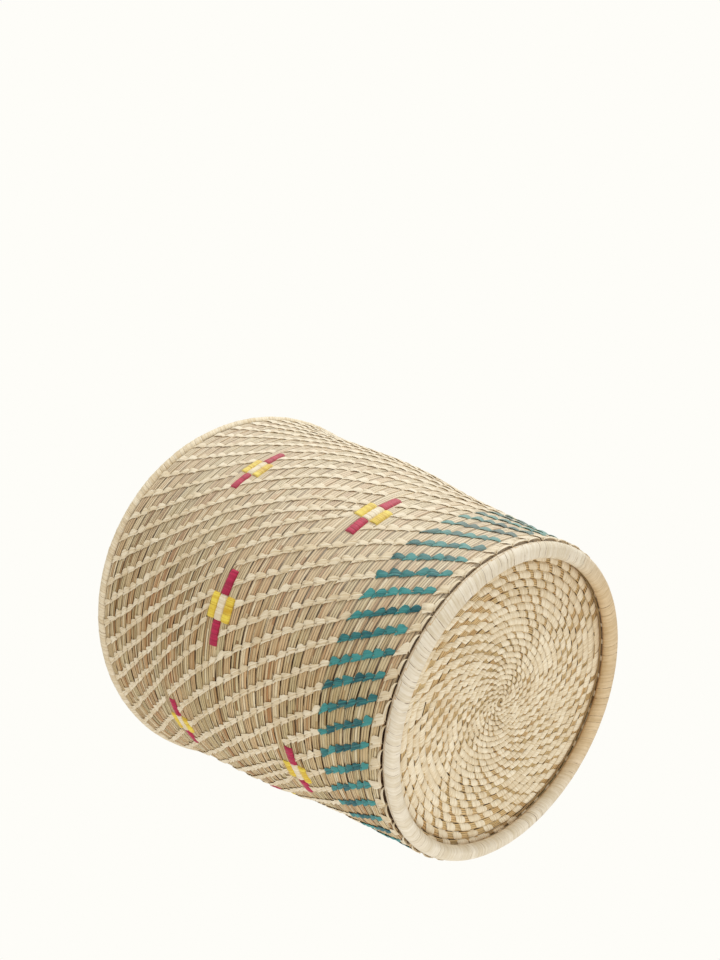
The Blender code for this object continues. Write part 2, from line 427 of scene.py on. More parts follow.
class Rows:
    """A coiled surface: its courses count from 0, with a crest at each half. It may start lower than 0."""

    def __init__(self, crests, thickness, stray, start=0.0):
        line = np.array(crests)
        first = line[0] - (0.5 - start) * (line[1] - line[0])
        last = (3 * line[-1] - line[-2]) / 2
        line = np.vstack([first, line, last])
        self.start, self.count = start, len(crests)
        self.courses = np.concatenate([[start], np.arange(self.count) + 0.5, [self.count]])
        self.radii, self.heights = line.T
        slope_r, slope_z = np.gradient(self.radii, self.courses), np.gradient(self.heights, self.courses)
        length = np.hypot(slope_r, slope_z)
        self.out_r, self.out_z, self.pitch = slope_z / length, -slope_r / length, length
        self.thickness = thickness
        self.stray = stray

    def read(self, values, course):
        return np.interp(course, self.courses, values)

    def radius(self, course):
        return self.read(self.radii, course)

    def place(self, angle, course, depth):
        """Points in space. A negative depth stands out from the crests."""
        calm = np.clip(np.minimum(course, self.count - course) / CALM, 0, 1)
        course = course + self.stray * calm * wander(angle, course)
        radius = self.read(self.radii, course) - depth * self.read(self.out_r, course)
        height = self.read(self.heights, course) - depth * self.read(self.out_z, course)
        return around_axis(radius, angle, height)


def turn_angle(turn):
    """The angle that the coil has reached after this many turns. It runs clockwise, seen from above."""
    return SEAM_ANGLE - math.tau * turn


def course_at(angle, near):
    """The middle of the coil at an angle, on the turn nearest to a course."""
    share = (SEAM_ANGLE - angle) / math.tau
    return share + np.round(near - share)


wall = Rows(wall_crests, thickness=7.5 * MM, stray=1.0, start=-0.28)
base = Rows(base_crests, thickness=6.0 * MM, stray=0.0)
print(f"courses are {wall.pitch[1] / MM:.1f} mm high at the foot and {wall.pitch[-2] / MM:.1f} mm at the rim")

# %% [markdown]
# A new piece starts as a flat grid, whose corners are then sent to their places. The places are worked out
# for all corners at once, which is much quicker than one by one. Every piece ends the same way: its mesh
# gets a smooth shading and a material, and the piece rides on the frame's only body.

# %% Starting and finishing a piece
def grid(steps, sides):
    """A flat grid, and how far along and across it each corner lies, from 0 to 1."""
    bm = bmesh.new()
    bmesh.ops.create_grid(bm, x_segments=steps, y_segments=sides, size=1)
    flat = np.array([vert.co for vert in bm.verts])
    return bm, (flat[:, 0] + 1) / 2, (flat[:, 1] + 1) / 2


def put(bm, points, lay, verts=None):
    """Moves every corner to its new point and notes its place in the pattern."""
    layer = bm.verts.layers.float_vector.get("lay") or bm.verts.layers.float_vector.new("lay")
    for vert, point, spot in zip(verts or bm.verts, points.tolist(), lay.tolist()):
        vert.co = point
        vert[layer] = spot


def close(bm, apart):
    """Joins corners that are no further apart than this, and fills the open ends that are left."""
    bmesh.ops.remove_doubles(bm, verts=bm.verts, dist=apart)
    bmesh.ops.holes_fill(bm, edges=[edge for edge in bm.edges if edge.is_boundary])


def finish_piece(name, bm, finish, slot, *nodes):
    """Makes the mesh a piece that rides on the frame and stands for these CAD nodes."""
    bmesh.ops.recalc_face_normals(bm, faces=bm.faces)
    mesh = bpy.data.meshes.new(name)
    bm.to_mesh(mesh)
    bm.free()
    mesh.shade_smooth()
    mesh.materials.append(finish.owner)
    piece = bpy.data.objects.new(name, mesh)
    link(piece)
    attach(piece, "root")
    if nodes:
        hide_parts(*nodes)


# %% [markdown]
# The grass. Each coil is a bundle of dry blades that lie along it, so its pattern is streaks: every blade has
# a colour of its own, runs for a few fingers' width and is then covered by the next. The pattern holds metres
# along the coil, metres across its face, and the turn. Dividing the second by a blade's width and dropping
# the fraction numbers the blades, and a white noise of that number picks the blade's tone. The joint between
# two coils is dark, and wider in some places than in others. The side of the wall that the light falls on
# is painted paler, a painted highlight, and one side of the base is painted darker, a painted shadow.

# %% Dry grass
FACE = 6.5 * MM  # how much of the pattern one face of the coil takes
BLADE = 1.7 * MM
BLADE_RUN = 0.045
BLADE_LINE = shade(80, 42, 16)  # between two blades
JOINT = shade(50, 24, 6)
JOINT_WIDTH, JOINT_OPENS = 0.020, 0.080  # shares of a face: at least, and how much more at most
GOLDEN = shade(224, 190, 132)
# the painted highlight, on the side of the wall that the light falls on
PAINTED_LIGHT_TONE = shade(236, 223, 200)
PAINTED_LIGHT_AT, PAINTED_LIGHT_REACH = 0.30, (0.07, 0.27)  # of a turn: the middle of the side painted paler, and where it ends
RING_SHADOW_PAINT = (0.89, 0.85, 0.80, 1)  # what the foot ring's painted shadow leaves of the base's colour
RING_SHADOW_AT, RING_SHADOW_REACH = math.radians(5), (35 * MM, 95 * MM)


def paint_ring_shadow(finish, colour):
    """This colour, darker on one side of the base under a painted shadow of the foot ring."""
    return finish.mix(colour, RING_SHADOW_PAINT, finish.side(RING_SHADOW_AT, RING_SHADOW_REACH), "MULTIPLY")


def grass(name, golden, lightened, soiled=False):
    """Blades along a coil, washed with these shares of a golden tone and of a painted highlight, shadowed or
    not.
    """
    finish = Finish(name)
    along, across, turn = finish.lay()
    row = turn.floor() * 7.3
    drift = finish.noise(along * 14, across * 90, row)
    lane = across / BLADE + drift * 1.6
    blade = lane.floor()
    run = (along / BLADE_RUN + blade * 0.618).floor()
    tone = finish.chance(blade, run, row)
    warm = finish.ramp(tone, [
        (0.00, (156, 102, 58)), (0.10, (196, 150, 100)), (0.40, (220, 188, 142)),
        (0.72, (212, 182, 136)), (0.88, (228, 204, 162)), (1.00, (240, 222, 186)),
    ])
    olive = finish.ramp(tone, [
        (0.00, (156, 122, 76)), (0.10, (190, 168, 120)), (0.40, (212, 194, 150)),
        (0.70, (202, 184, 138)), (0.88, (220, 204, 162)), (1.00, (236, 222, 186)),
    ])
    bundle = finish.noise(along * 8, turn * 0.45, row * 0.1)
    colour = finish.mix(warm, olive, bundle.between(0.36, 0.66))
    fine = finish.noise(along * 120, across * 1500, row)
    colour = finish.mix(colour, shade(150, 108, 64), fine.between(0.50, 0.75) * 0.40)
    colour = finish.mix(colour, shade(244, 228, 194), (1 - fine).between(0.55, 0.75) * 0.18)
    colour = finish.mix(colour, GOLDEN, golden)
    inside = lane.fract()
    edge = inside.least(1 - inside)
    weak = finish.noise(along * 38, blade * 3.1, row)
    line = (1 - edge.between(0.04, 0.18)) * weak.between(0.40, 0.54)
    colour = finish.mix(colour, BLADE_LINE, line * (0.92 - 0.40 * golden))
    from_joint = (across / FACE).fract()
    opens = finish.noise(along * 55, turn.floor() * 5.1).between(0.40, 0.64)
    width = JOINT_WIDTH + opens * JOINT_OPENS
    joint = (width - from_joint.least(1 - from_joint)).between(-0.015, 0.015)
    colour = finish.mix(colour, JOINT, joint * 0.95)
    # painted highlight: the grass is paler on the side that the light falls on
    from_painted_light = turn.fract().off(PAINTED_LIGHT_AT)
    colour = finish.mix(colour, PAINTED_LIGHT_TONE, (1 - from_painted_light.between(*PAINTED_LIGHT_REACH)) * lightened)
    # painted shadow of the foot ring, on one side of the base
    if soiled:
        colour = paint_ring_shadow(finish, colour)
    relief = edge.between(0.0, 0.35) * 0.8 + fine * 0.25 + tone * 0.5
    finish.paint(colour, 0.46 + fine * 0.2 + joint * 0.3, 0.25, relief, 0.50 * MM)
    return finish


# the wall's grass gets a painted highlight, the base's grass a painted shadow
wall_grass = grass("wall_grass", 0.0, 0.64)
base_grass = grass("base_grass", 0.55, 0.0, soiled=True)
print("dry grass:", len(wall_grass.tree.nodes), "nodes")

# %% [markdown]
# The palm strip. It is split from a young leaf, so ridges run along it, and no two strips have quite the same
# tone. Dyed strip is the same leaf, with a deeper colour that has rubbed off here and there. A stitch is in
# the shade at its root, between two coils. The side of the basket that the light falls on is painted paler, a
# painted highlight. The foot ring is darker and warmer on one side, and its grooves have painted shade. One
# function makes all of them, from three colours and what sets each apart.

# %% Palm strip, plain and dyed
RIDGE = 1.0 * MM
EDGE_LINE = shade(104, 68, 36)  # between two wraps
ROOT_SHADE = shade(84, 52, 26)
WALL_ROOT, BASE_ROOT = (-4.0 * MM, -3.2 * MM), (-2.9 * MM, -2.3 * MM)
RING_SIDE_TINT, GROOVE_SHADE = (0.90, 0.77, 0.59, 1), (0.80, 0.63, 0.45, 1)  # what the darker side and the painted groove shade leave of the colour
DARKER_SIDE_AT, DARKER_SIDE_REACH = 95 * MM, (50 * MM, 120 * MM)  # along the foot ring, where it is darker and warmer
GROOVE_AT, GROOVE = 7.85 * MM, (3.6 * MM, 7.4 * MM)  # round its tube: painted shade beside the wall and the base
# the palm strip's painted highlight, on the side of the basket that the light falls on
PALM_LIGHT_TONE = shade(242, 231, 210)
PAINTED_LIGHT_ANGLE, PAINTED_LIGHT_DISTANCES = math.radians(-18), (60 * MM, 125 * MM)  # the side painted paler, where the light falls
PALMS = (
    # name, dark, light and worn colours, what sets it apart
    # some strips get a painted highlight on one side, the base's a painted shadow, and the foot ring a darker
    # side and painted shade in its grooves
    ("plain", (206, 183, 142), (241, 230, 205), (198, 167, 120), {"root": WALL_ROOT, "bleached": 0.55}),
    ("base", (210, 188, 148), (250, 240, 216), (202, 172, 126), {"root": BASE_ROOT, "soiled": True}),
    ("teal", (4, 72, 80), (62, 146, 144), (154, 198, 186),
     {"root": WALL_ROOT, "uneven": 0.5, "bleached": 0.28}),
    ("magenta", (150, 10, 54), (196, 34, 84), (220, 124, 134), {"edge_line": 0.5, "bleached": 0.14}),
    ("yellow", (206, 162, 30), (242, 220, 86), (244, 232, 146), {"edge_line": 0.6, "bleached": 0.25}),
    ("cream", (218, 200, 164), (244, 234, 210), (206, 180, 136), {"edge_line": 0.3}),
    ("foot", (212, 198, 170), (236, 227, 209), (212, 186, 146), {"edge_line": 1.0, "aged": True}),
    ("rim", (212, 192, 156), (240, 228, 202), (200, 170, 124), {"edge_line": 1.0}),
)


def palm(name, dark, light, worn, edge_line=0, root=None, uneven=0.2, aged=False, bleached=0, soiled=False):
    """Strip whose lay holds metres across it, metres along it and the strip's number."""
    finish = Finish(name)
    across, along, number = finish.lay()
    own = number.floor()
    ridge = finish.noise(across / RIDGE, along * 40, number)
    cloud = finish.noise(across * 350, along * 160, number * 3.7)
    place = finish.chance(own) * uneven + cloud * 0.45 + ridge * 1.1 - (0.275 + uneven / 2)
    colour = finish.mix(shade(*dark), shade(*light), place.between(0.15, 0.80))
    rubbed = finish.noise(across * 900, along * 90, number * 1.9, 3.0)
    colour = finish.mix(colour, shade(*worn), rubbed.between(0.55, 0.78) * 0.25)
    if edge_line:
        inside = number.fract()
        near = 1 - inside.least(1 - inside).between(0.01, 0.06)
        seldom = finish.chance(own + 0.5, 3.0).between(0.42, 1.0)
        broken = finish.noise(along * 160, own * 2.3).between(0.38, 0.58)
        colour = finish.mix(colour, EDGE_LINE, near * seldom * broken * edge_line)
    # painted highlight: the strip is paler on the side that the light falls on
    if bleached:
        colour = finish.mix(colour, PALM_LIGHT_TONE, finish.side(PAINTED_LIGHT_ANGLE, PAINTED_LIGHT_DISTANCES) * bleached)
    # painted shadow of the foot ring, on one side of the base
    if soiled:
        colour = paint_ring_shadow(finish, colour)
    if root:
        colour = finish.mix(ROOT_SHADE, colour, along.between(*root))
    if aged:
        # the foot ring is darker and warmer on one side
        colour = finish.mix(colour, RING_SIDE_TINT, 1 - across.off(DARKER_SIDE_AT).between(*DARKER_SIDE_REACH), "MULTIPLY")
        # painted shade in the ring's grooves, beside the wall and the base
        colour = finish.mix(colour, GROOVE_SHADE, 1 - along.off(GROOVE_AT).between(*GROOVE), "MULTIPLY")
    finish.paint(colour, 0.44 + ridge * 0.22, 0.4, ridge + cloud * 0.4, 0.45 * MM)
    return finish


palms = {name: palm(f"{name}_palm", *colours, **apart) for name, *colours, apart in PALMS}
print("palm strip in", len(palms), "finishes")

# %% [markdown]
# The coil. It could be swept along a spiral curve, but every turn has to lie snugly on the one below it on a
# wall that flares. So the tube starts as a flat grid, one way along the coil and the other way round it, and
# every corner is sent to its course, angle and depth. The section is a rounded square, because sewing presses
# the bundle flat against its neighbours. Where the wall starts and ends, the coil runs out to a wedge.

# %% The coil
STEPS_PER_TURN = 176
SIDES = 24
COIL_SQUARENESS = 5.5
TURN_LENGTH = 0.72  # metres along the coil in one turn, for its pattern
OVERLAP = 1.03  # the coil is this much higher than its course, so no light shows
START = 0.1  # the share of a turn after which the coil's wedge is worth making
# how the bundle swells and thins: waves a turn, waves round its section, size as a share of its depth
LUMPS = ((17.3, 2, 0.022), (41.7, -3, 0.020), (93.1, 4, 0.016), (171.9, -5, 0.012))


def soft_square(angle, squareness):
    """(up, out) on a rounded square: straight down at 0, outwards at a quarter turn."""
    up, out = -np.cos(angle), np.sin(angle)
    power = 2 / squareness
    return np.sign(up) * np.abs(up) ** power, np.sign(out) * np.abs(out) ** power


def coil(name, rows, first, last, finish, node):
    """The coil from one turn to another, as one closed piece."""
    bm, along, across = grid(round((last - first) * STEPS_PER_TURN), SIDES)
    turn = first + (last - first) * along
    around = math.tau * across
    up, out = soft_square(around, COIL_SQUARENESS)
    lower, upper = (np.clip(turn + half, rows.start, rows.count) for half in (-0.5, 0.5))
    course = (lower + upper) / 2 + up * OVERLAP * (upper - lower) / 2
    lumps = sum(size * np.sin(rate * turn + sides * around) for rate, sides, size in LUMPS)
    points = rows.place(turn_angle(turn), course, rows.thickness / 2 * (1 - out * (1 + lumps)))
    face = np.where(around <= math.pi, 1 + up, 3 - up) / 2
    put(bm, points, np.stack([turn * TURN_LENGTH, face * FACE, turn], -1))
    close(bm, 0.001 * MM)
    finish_piece(name, bm, finish, "coil_straw", node)


bands = []
first = 0
for name in wall_names:
    low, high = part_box(name)[0].z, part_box(name)[1].z
    last = first + sum(low < z < high for _, z in wall_crests)
    start = wall.start + START - 0.5 if first == 0 else first
    end = wall.count + 0.5 - START if last == wall.count else last
    part = name.replace("_courses", "").replace("_course", "")
    coil(f"{part}_coil", wall, start, end, wall_grass, name)
    bands.append((part, first, last))
    first = last
coil("base_spiral", base, 0.0, base.count + 0.5 - START, base_grass, "base_coil")
print("bands of the coil:", bands)

# %% [markdown]
# The foot ring and the rim are a single fat coil each, hidden by palm strip that is wrapped round them edge
# over edge. A torus could carry the wraps in its bump alone, but their steps show on the outline. So each
# wrap has its own few rows of corners, and its leading edge stands a hair above the wrap before it.

# %% Wrapped rings
WRAP_ROWS = ((0.0, -0.5), (0.10, 0.8), (0.5, 1.0), (0.90, 0.7))  # share of the wrap, share of its step
WRAP_STRAYS = 0.30  # of a wrap: how far its edge strays
WRAP_SLANT = 0.30  # of a wrap, at the outside and the inside of the ring


def wrapped_ring(name, node, tube, wrap_width, step, sides, finish):
    """A ring of this tube, where the CAD node is, closely wrapped in pale strip."""
    low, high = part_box(node)
    level = high.z - tube / 2
    starts = hand_made([(outside, ASIDE, z) for z in np.arange(low.z + FEELER_STEP, high.z, FEELER_STEP)])
    ring_radius = max(on_the_round(touch([node], Vector(start), INWARDS))[0] for start in starts) - tube / 2
    wraps = round(math.tau * ring_radius / wrap_width)
    rows = len(WRAP_ROWS)
    bm, along, across = grid(wraps * rows, sides)
    column = np.round(along * wraps * rows).astype(int)
    wrap, row = column // rows, column % rows
    own = rng.uniform(0.1, 1.0, wraps + 1) ** 1.5
    starts = np.arange(wraps + 2) + rng.uniform(-WRAP_STRAYS, WRAP_STRAYS, wraps + 2)
    own[-1] = own[0]
    starts[-2:] = starts[:2] + wraps
    shares, steps = np.array(WRAP_ROWS).T
    spot = starts[wrap] + shares[row] * (starts[wrap + 1] - starts[wrap])
    around = math.tau * across
    angle = math.tau * spot / wraps + WRAP_SLANT * wrap_width / ring_radius * np.sin(around)
    thick = tube / 2 + step * (steps[row] * own[wrap] - 0.5)
    radius = ring_radius + thick * np.cos(around)
    height = np.maximum(level + thick * np.sin(around), 0.0)
    points = around_axis(radius, angle, height)
    put(bm, points, np.stack([spot * wrap_width, around / 2 * tube, wrap + shares[row]], -1))
    close(bm, 0.002 * MM)
    print(name, "has", wraps, "wraps")
    finish_piece(name, bm, finish, "pale_palm", node)


# name, CAD node, thickness, width of a wrap, its step, sides, finish
wrapped_ring("foot_wrapping", "foot_ring", 10.0 * MM, 6.4 * MM, 0.11 * MM, 28, palms["foot"])
wrapped_ring("rim_wrapping", "rim_coil", 6.5 * MM, 4.6 * MM, 0.30 * MM, 20, palms["rim"])

# %% [markdown]
# The motifs. On the real basket each is three coils bound with dyed strip for a finger's width: magenta,
# pale, magenta on the middle coil, and yellow on the coils above and below. A binding is a sleeve that
# follows the coil, a little fatter than it, and made like the coil from a flat grid.

# %% Wrapped motifs
MOTIF_ROWS = (
    # name, how much of the coil one binding covers, course and angle in degrees of each motif
    ("lower", 13.9 * MM, ((12, 35), (11, 125), (11, 213), (12, 308))),
    ("middle", 16.2 * MM, ((20, 16), (20, 92), (20, 176), (20, 260))),
    ("upper", 14.4 * MM, ((28, 35), (28, 125), (28, 214), (28, 304))),
)
BINDINGS = (
    # name, CAD node, courses above the middle, place along the coil, strip, slot
    ("magenta_left", "bar", 0, 1, "magenta", "magenta_palm"),
    ("magenta_right", "bar", 0, -1, "magenta", "magenta_palm"),
    ("pale", "bar", 0, 0, "cream", "pale_palm"),
    ("yellow_above_binding", "yellow_above", 1, 0, "yellow", "yellow_palm"),
    ("yellow_below_binding", "yellow_below", -1, 0, "yellow", "yellow_palm"),
)
PROUD = 1.0 * MM  # how far a binding stands out from the coil
WINDING = ((0.06, -0.10), (0.30, 0.12), (0.65, 0.14), (0.94, 0.04))  # share of a strip, its rise in mm
BINDING_END = -0.45 * MM  # the rise at a binding's two ends
BINDING_SQUARENESS = 3.0
LAST_SHARE = 0.999  # of a binding's strips, so that its far end has no new number


def binding(name, middle_angle, near_course, length, shift, finish, slot, node):
    """A sleeve on the coil nearest to a course, moved along the coil by a share of its length."""
    centre = course_at(middle_angle, near_course)
    per_turn = math.tau * wall.radius(centre)
    strips = int(rng.integers(2, 5))
    rows = strips * len(WINDING)
    bm, along, across = grid(rows, SIDES)
    row = np.round(along * rows).astype(int)
    shares, rises = np.tile(np.array(WINDING).T, strips + 1)[:, : rows + 1]
    share = (np.arange(rows + 1) // len(WINDING) + shares) / strips
    crown = rises * MM
    share[0], share[-1] = 0.0, 1.0
    crown[0] = crown[-1] = BINDING_END
    share = share[row]
    turn = centre + (shift + share - 0.5) * length / per_turn
    around = math.tau * across
    up, out = soft_square(around, BINDING_SQUARENESS)
    swell = PROUD + crown[row]
    course = turn + up * (0.5 + 0.4 * swell / wall.read(wall.pitch, turn))
    depth = wall.thickness / 2 - out * (wall.thickness / 2 + swell)
    number = math.floor(7 * centre) + share * strips * LAST_SHARE
    lay = np.stack([share * length, around * wall.thickness / 2, number], -1)
    put(bm, wall.place(turn_angle(turn), course, depth), lay)
    close(bm, 0.001 * MM)
    finish_piece(name, bm, finish, slot, node)


motifs = []
for row_name, length, spots in MOTIF_ROWS:
    for number, (row, degrees) in enumerate(spots, 1):
        motif = f"{row_name}_motif_{number}"
        angle, centre = math.radians(degrees), row + 0.5
        for part, node, up, shift, palm_name, slot in BINDINGS:
            place = (angle, centre + up, length, shift)
            binding(f"{motif}_{part}", *place, palms[palm_name], slot, f"{motif}_{node}")
        motifs.append((angle, course_at(angle, centre), length))
print(len(motifs), "motifs")

# %% [markdown]
# The maker sews each coil to the one below it, and puts every stitch through the stitch below, which splits
# its strip in two. So the stitches stand in columns, and each column leans, because the needle always lands
# a little to one side. Where the basket widens, the columns drift apart, and the maker starts new ones.
# Their angles are worked out course by course, as the maker meets them.

# %% Columns of stitches
FIRST_COLUMNS = 48
FIRST_COLUMN_ANGLE = 2.0  # degrees
LEAN_AT = (0, 7, 12, 28, 40)  # courses
LEAN = (1.93, 2.05, 2.27, 2.10, 1.64)  # degrees that a column leans in one course
EVENING = 0.22  # how much of an uneven gap the maker evens out in one course
NEW_COLUMNS = [(row + 2, angle) for _, _, spots in MOTIF_ROWS[:2] for row, angle in spots]  # above motifs
HALF_MOTIF = {-1: 0.5, 0: 1.5, 1: 1.5}  # by courses above its middle: half its width, in bindings
STITCH_REACH = 2.2 * MM  # how far a stitch reaches to each side
TOP_STITCH = 0.2  # courses: no stitch's middle is nearer than this to the rim
SETTLING = 4  # rounds in which a stitch finds the spot where its column meets the coil


def lay_out_columns():
    """For every column, its angle at each whole course from where it starts."""
    angles = list(np.radians(FIRST_COLUMN_ANGLE + 360 / FIRST_COLUMNS * np.arange(FIRST_COLUMNS)))
    columns = [[] for _ in angles]
    starts = [0] * len(angles)
    for course in range(wall.count + 2):
        for wanted in [math.radians(angle) for row, angle in NEW_COLUMNS if row == course]:
            offset = [(angle - wanted) % math.tau for angle in angles]
            after, before = angles[np.argmin(offset)], angles[np.argmax(offset)]
            angles.append(before + (after - before) % math.tau / 2)
            columns.append([])
            starts.append(course)
        for column, angle in zip(columns, angles):
            column.append(angle)
        order = np.argsort(np.mod(angles, math.tau))
        ring = np.array(angles)[order]
        ahead = np.mod(np.roll(ring, -1) - ring, math.tau)
        behind = np.mod(ring - np.roll(ring, 1), math.tau)
        ring = ring + EVENING * (ahead - behind) - math.radians(np.interp(course, LEAN_AT, LEAN))
        for place, index in enumerate(order):
            angles[index] = ring[place]
    return columns, starts


def hidden(angle, course):
    """Whether a motif's bindings take a stitch's place."""
    for motif_angle, motif_course, length in motifs:
        along = abs((angle - motif_angle + math.pi) % math.tau - math.pi) * wall.radius(course)
        half = HALF_MOTIF.get(round(course - motif_course))
        if half and along < length * half + STITCH_REACH:
            return True
    return False


columns, column_starts = lay_out_columns()
stitches = []  # (column, middle course, whether a motif is next above) of each
for number, (column, start) in enumerate(zip(columns, column_starts)):
    where = start + np.arange(len(column))
    for turn in range(-2, wall.count + 2):
        middle = turn + 0.5
        for _ in range(SETTLING):
            angle = np.interp(middle, where, column)
            middle = (SEAM_ANGLE - angle) / math.tau + turn
        if start - 0.5 < middle < wall.count - TOP_STITCH and not hidden(angle, middle):
            stitches.append((number, middle, hidden(angle, middle + 1)))
print(len(columns), "columns,", len(stitches), "stitches on the wall")

# %% [markdown]
# One stitch is a flattened strip with a split upper end, and the next stitch up comes out of the split. The
# table gives its middle line from bottom to top: how far along the course it is, how far its left and right
# edges and its middle are to the right, how wide and deep the split is, and how deep it lies under the
# coil's crest, all in millimetres but the first. On the wall the right side is a broad fan and the left one
# is slim, and both end at the split. On the base the strip is a slanted block, and isn't split.

# %% The shape of a stitch
WALL_STITCH = (
    # course, left, right, middle, half split, split depth, depth
    (-0.76, -0.9, 0.6, 0.0, 0.35, 0.0, 1.60),
    (-0.66, -1.3, 0.9, 0.0, 0.50, 0.0, 0.40),
    (-0.54, -1.6, 1.5, 0.0, 0.65, 0.0, -0.10),
    (-0.38, -1.8, 2.1, 0.0, 0.90, 0.0, -0.60),
    (-0.18, -1.9, 2.8, 0.0, 1.20, 0.0, -0.90),
    (0.04, -2.1, 3.4, 0.0, 1.30, 0.1, -1.00),
    (0.18, -2.3, 3.6, 0.0, 0.45, 0.9, -0.90),
    (0.34, -2.3, 3.1, 0.0, 0.50, 1.4, -0.50),
    (0.54, -2.0, 1.9, 0.0, 0.45, 1.4, 1.50),
)
BASE_STITCH = (
    # the same, but the sides, the middle and the split are shares of half a stitch
    (-0.60, -0.35, 1.05, 0.40, 0.30, 0.0, 1.50),
    (-0.48, -0.65, 1.08, 0.25, 0.45, 0.0, 0.20),
    (-0.25, -0.95, 1.05, 0.10, 0.55, 0.0, -0.50),
    (0.00, -1.02, 1.00, 0.00, 0.55, 0.0, -0.70),
    (0.25, -1.06, 0.88, -0.10, 0.50, 0.0, -0.60),
    (0.46, -1.08, 0.50, -0.30, 0.40, 0.0, 0.10),
    (0.60, -1.05, 0.15, -0.45, 0.25, 0.0, 1.50),
)
STRIP_EDGE = 0.25  # how much lower than its middle the strip's edges are
STRIP_BACK = 1.2  # and its back, which the coil hides
SHARP = math.radians(50)  # edges that turn more than this are drawn sharp


def strip(table):
    """The mesh of one flat stitch: corners hold across in mm, along in courses and depth in mm."""
    along, left, right, middle, split, dive, depth = np.array(table).T
    across = np.stack([middle, left, middle - split, middle, middle + split, right, middle])
    back, edge, none = dive + STRIP_BACK, 0 * dive + STRIP_EDGE, 0 * dive
    lower = np.stack([back, edge, none, dive, none, edge, back])
    bm, column, row = grid(len(across) - 1, len(table) - 1)
    column = np.round(column * (len(across) - 1)).astype(int)
    row = np.round(row * (len(table) - 1)).astype(int)
    for vert, i, j in zip(bm.verts, column, row):
        vert.co = (across[i, j], along[j], depth[j] + lower[i, j])
    close(bm, 0.0001)
    for edge in bm.edges:
        edge.smooth = edge.calc_face_angle(0.0) < SHARP
    return bm


def copies(table, count):
    """A mesh of this many strips, its corners copy by copy, and their across, along and depth as arrays.

    Each corner carries its copy's number, because new corners may take the places of deleted ones. A new
    layer makes a list of corners useless, so the pattern's layer is made before the list.
    """
    bm = strip(table)
    bm.verts.layers.float_vector.new("lay")
    number = bm.verts.layers.int.new("copy")
    made = 1
    while made < count:
        new = bmesh.ops.duplicate(bm, geom=[*bm.verts, *bm.edges, *bm.faces])["geom"]
        for vert in new:
            if isinstance(vert, bmesh.types.BMVert):
                vert[number] += made
        made *= 2
    bmesh.ops.delete(bm, geom=[vert for vert in bm.verts if vert[number] >= count], context="VERTS")
    verts = sorted(bm.verts, key=lambda vert: vert[number])
    shape = np.array([vert.co for vert in verts]).reshape(count, -1, 3)
    return bm, verts, shape.transpose(2, 0, 1)


def finish_stitches(name, bm, verts, points, across, along, finish, slot):
    """Makes a piece of the strips. Its pattern runs across and along each strip, in metres."""
    lay = np.stack([across, along, np.arange(len(points))[:, None] + 0 * across], -1)
    put(bm, points.reshape(-1, 3), lay.reshape(-1, 3), verts)
    finish_piece(name, bm, finish, slot)


# %% [markdown]
# Now the stitches are sewn on. Each copy of the strip follows its column across the coil. The same stitches
# show inside the basket, where the strip lies narrower, so the inner ones are laid from the other face.

# %% Sew the wall
STRIP_VARIES, STRIP_LIMITS = 0.15, (0.7, 1.35)  # how much the width of a stitch's sides varies
INSIDE_NARROWER = 0.82
SLIP = 0.25  # mm: how far a stitch slips along the coil
LIFT = 0.07  # mm: how far it stands higher or lower
RAGGED = 0.20 * MM  # how far a corner strays
TILT = 0.28  # how far a stitch tilts, in metres up for each metre across
TUCKED_AT = 0.36  # a stitch under a motif ends here, because the binding covers the rest
FOOT_REACH = 1.5  # the lowest stitches are longer, down to the foot ring, and wider
FOOT_WIDER = 1.25
STITCH_TOP = WALL_STITCH[-1][0]
COURSE_LENGTH = 6 * MM  # along a stitch, for its pattern


def sew_wall(name, band, inside, finish, slot, reach=1.0, wider=1.0):
    """All the stitches of one band of courses, on one face of the wall."""
    bm, verts, (flat, rise, sink) = copies(WALL_STITCH, len(band))
    each = (len(band), 1)
    widths = rng.normal(1.0, STRIP_VARIES, (2, *each)).clip(*STRIP_LIMITS)
    bulge, strand = widths * (INSIDE_NARROWER if inside else wider)
    slip = rng.normal(0.0, SLIP, each) * MM
    lift = rng.normal(0.0, LIFT, each)
    across = flat * np.where(flat > 0, bulge, strand) * MM
    across = across + rng.normal(0.0, RAGGED, across.shape)
    tilt = rng.normal(0.0, TILT, each) * across / wall.pitch[1]
    numbers, middles, tucked = zip(*band)
    middles, tucked = np.array(middles)[:, None], np.array(tucked)[:, None]
    along = STITCH_TOP + (rise - STITCH_TOP) * reach + tilt
    course = middles + np.where(tucked, np.minimum(along, TUCKED_AT), along)
    course = np.maximum(course, wall.start)
    angle = np.empty_like(course)
    for place, number in enumerate(numbers):
        column = columns[number]
        where = column_starts[number] + np.arange(len(column))
        angle[place] = np.interp(course[place], where, column)
        if course[place].min() < where[0]:
            angle[place] += np.minimum(course[place] - where[0], 0) * (column[1] - column[0])
    angle += (across + slip) / wall.radius(course)
    depth = (sink + lift) * MM
    points = wall.place(angle, course, wall.thickness - depth if inside else depth)
    finish_stitches(name, bm, verts, points, across, rise * COURSE_LENGTH, finish, slot)


for part, first, last in bands:
    band = [stitch for stitch in stitches if (first or wall.start) <= stitch[1] < last]
    finish, slot = (palms["teal"], "teal_palm") if "teal" in part else (palms["plain"], "pale_palm")
    longer = (FOOT_REACH, FOOT_WIDER) if first == 0 else ()
    sew_wall(f"{part}_stitches_outside", band, False, finish, slot, *longer)
    sew_wall(f"{part}_stitches_inside", band, True, finish, slot)
    print(part, len(band), "stitches")

# %% [markdown]
# From the foot of every column the strip runs on sideways, in the groove between the wall and the foot ring,
# to the next column. It hides most of the groove. The same kind of strip is laid lengthways here.

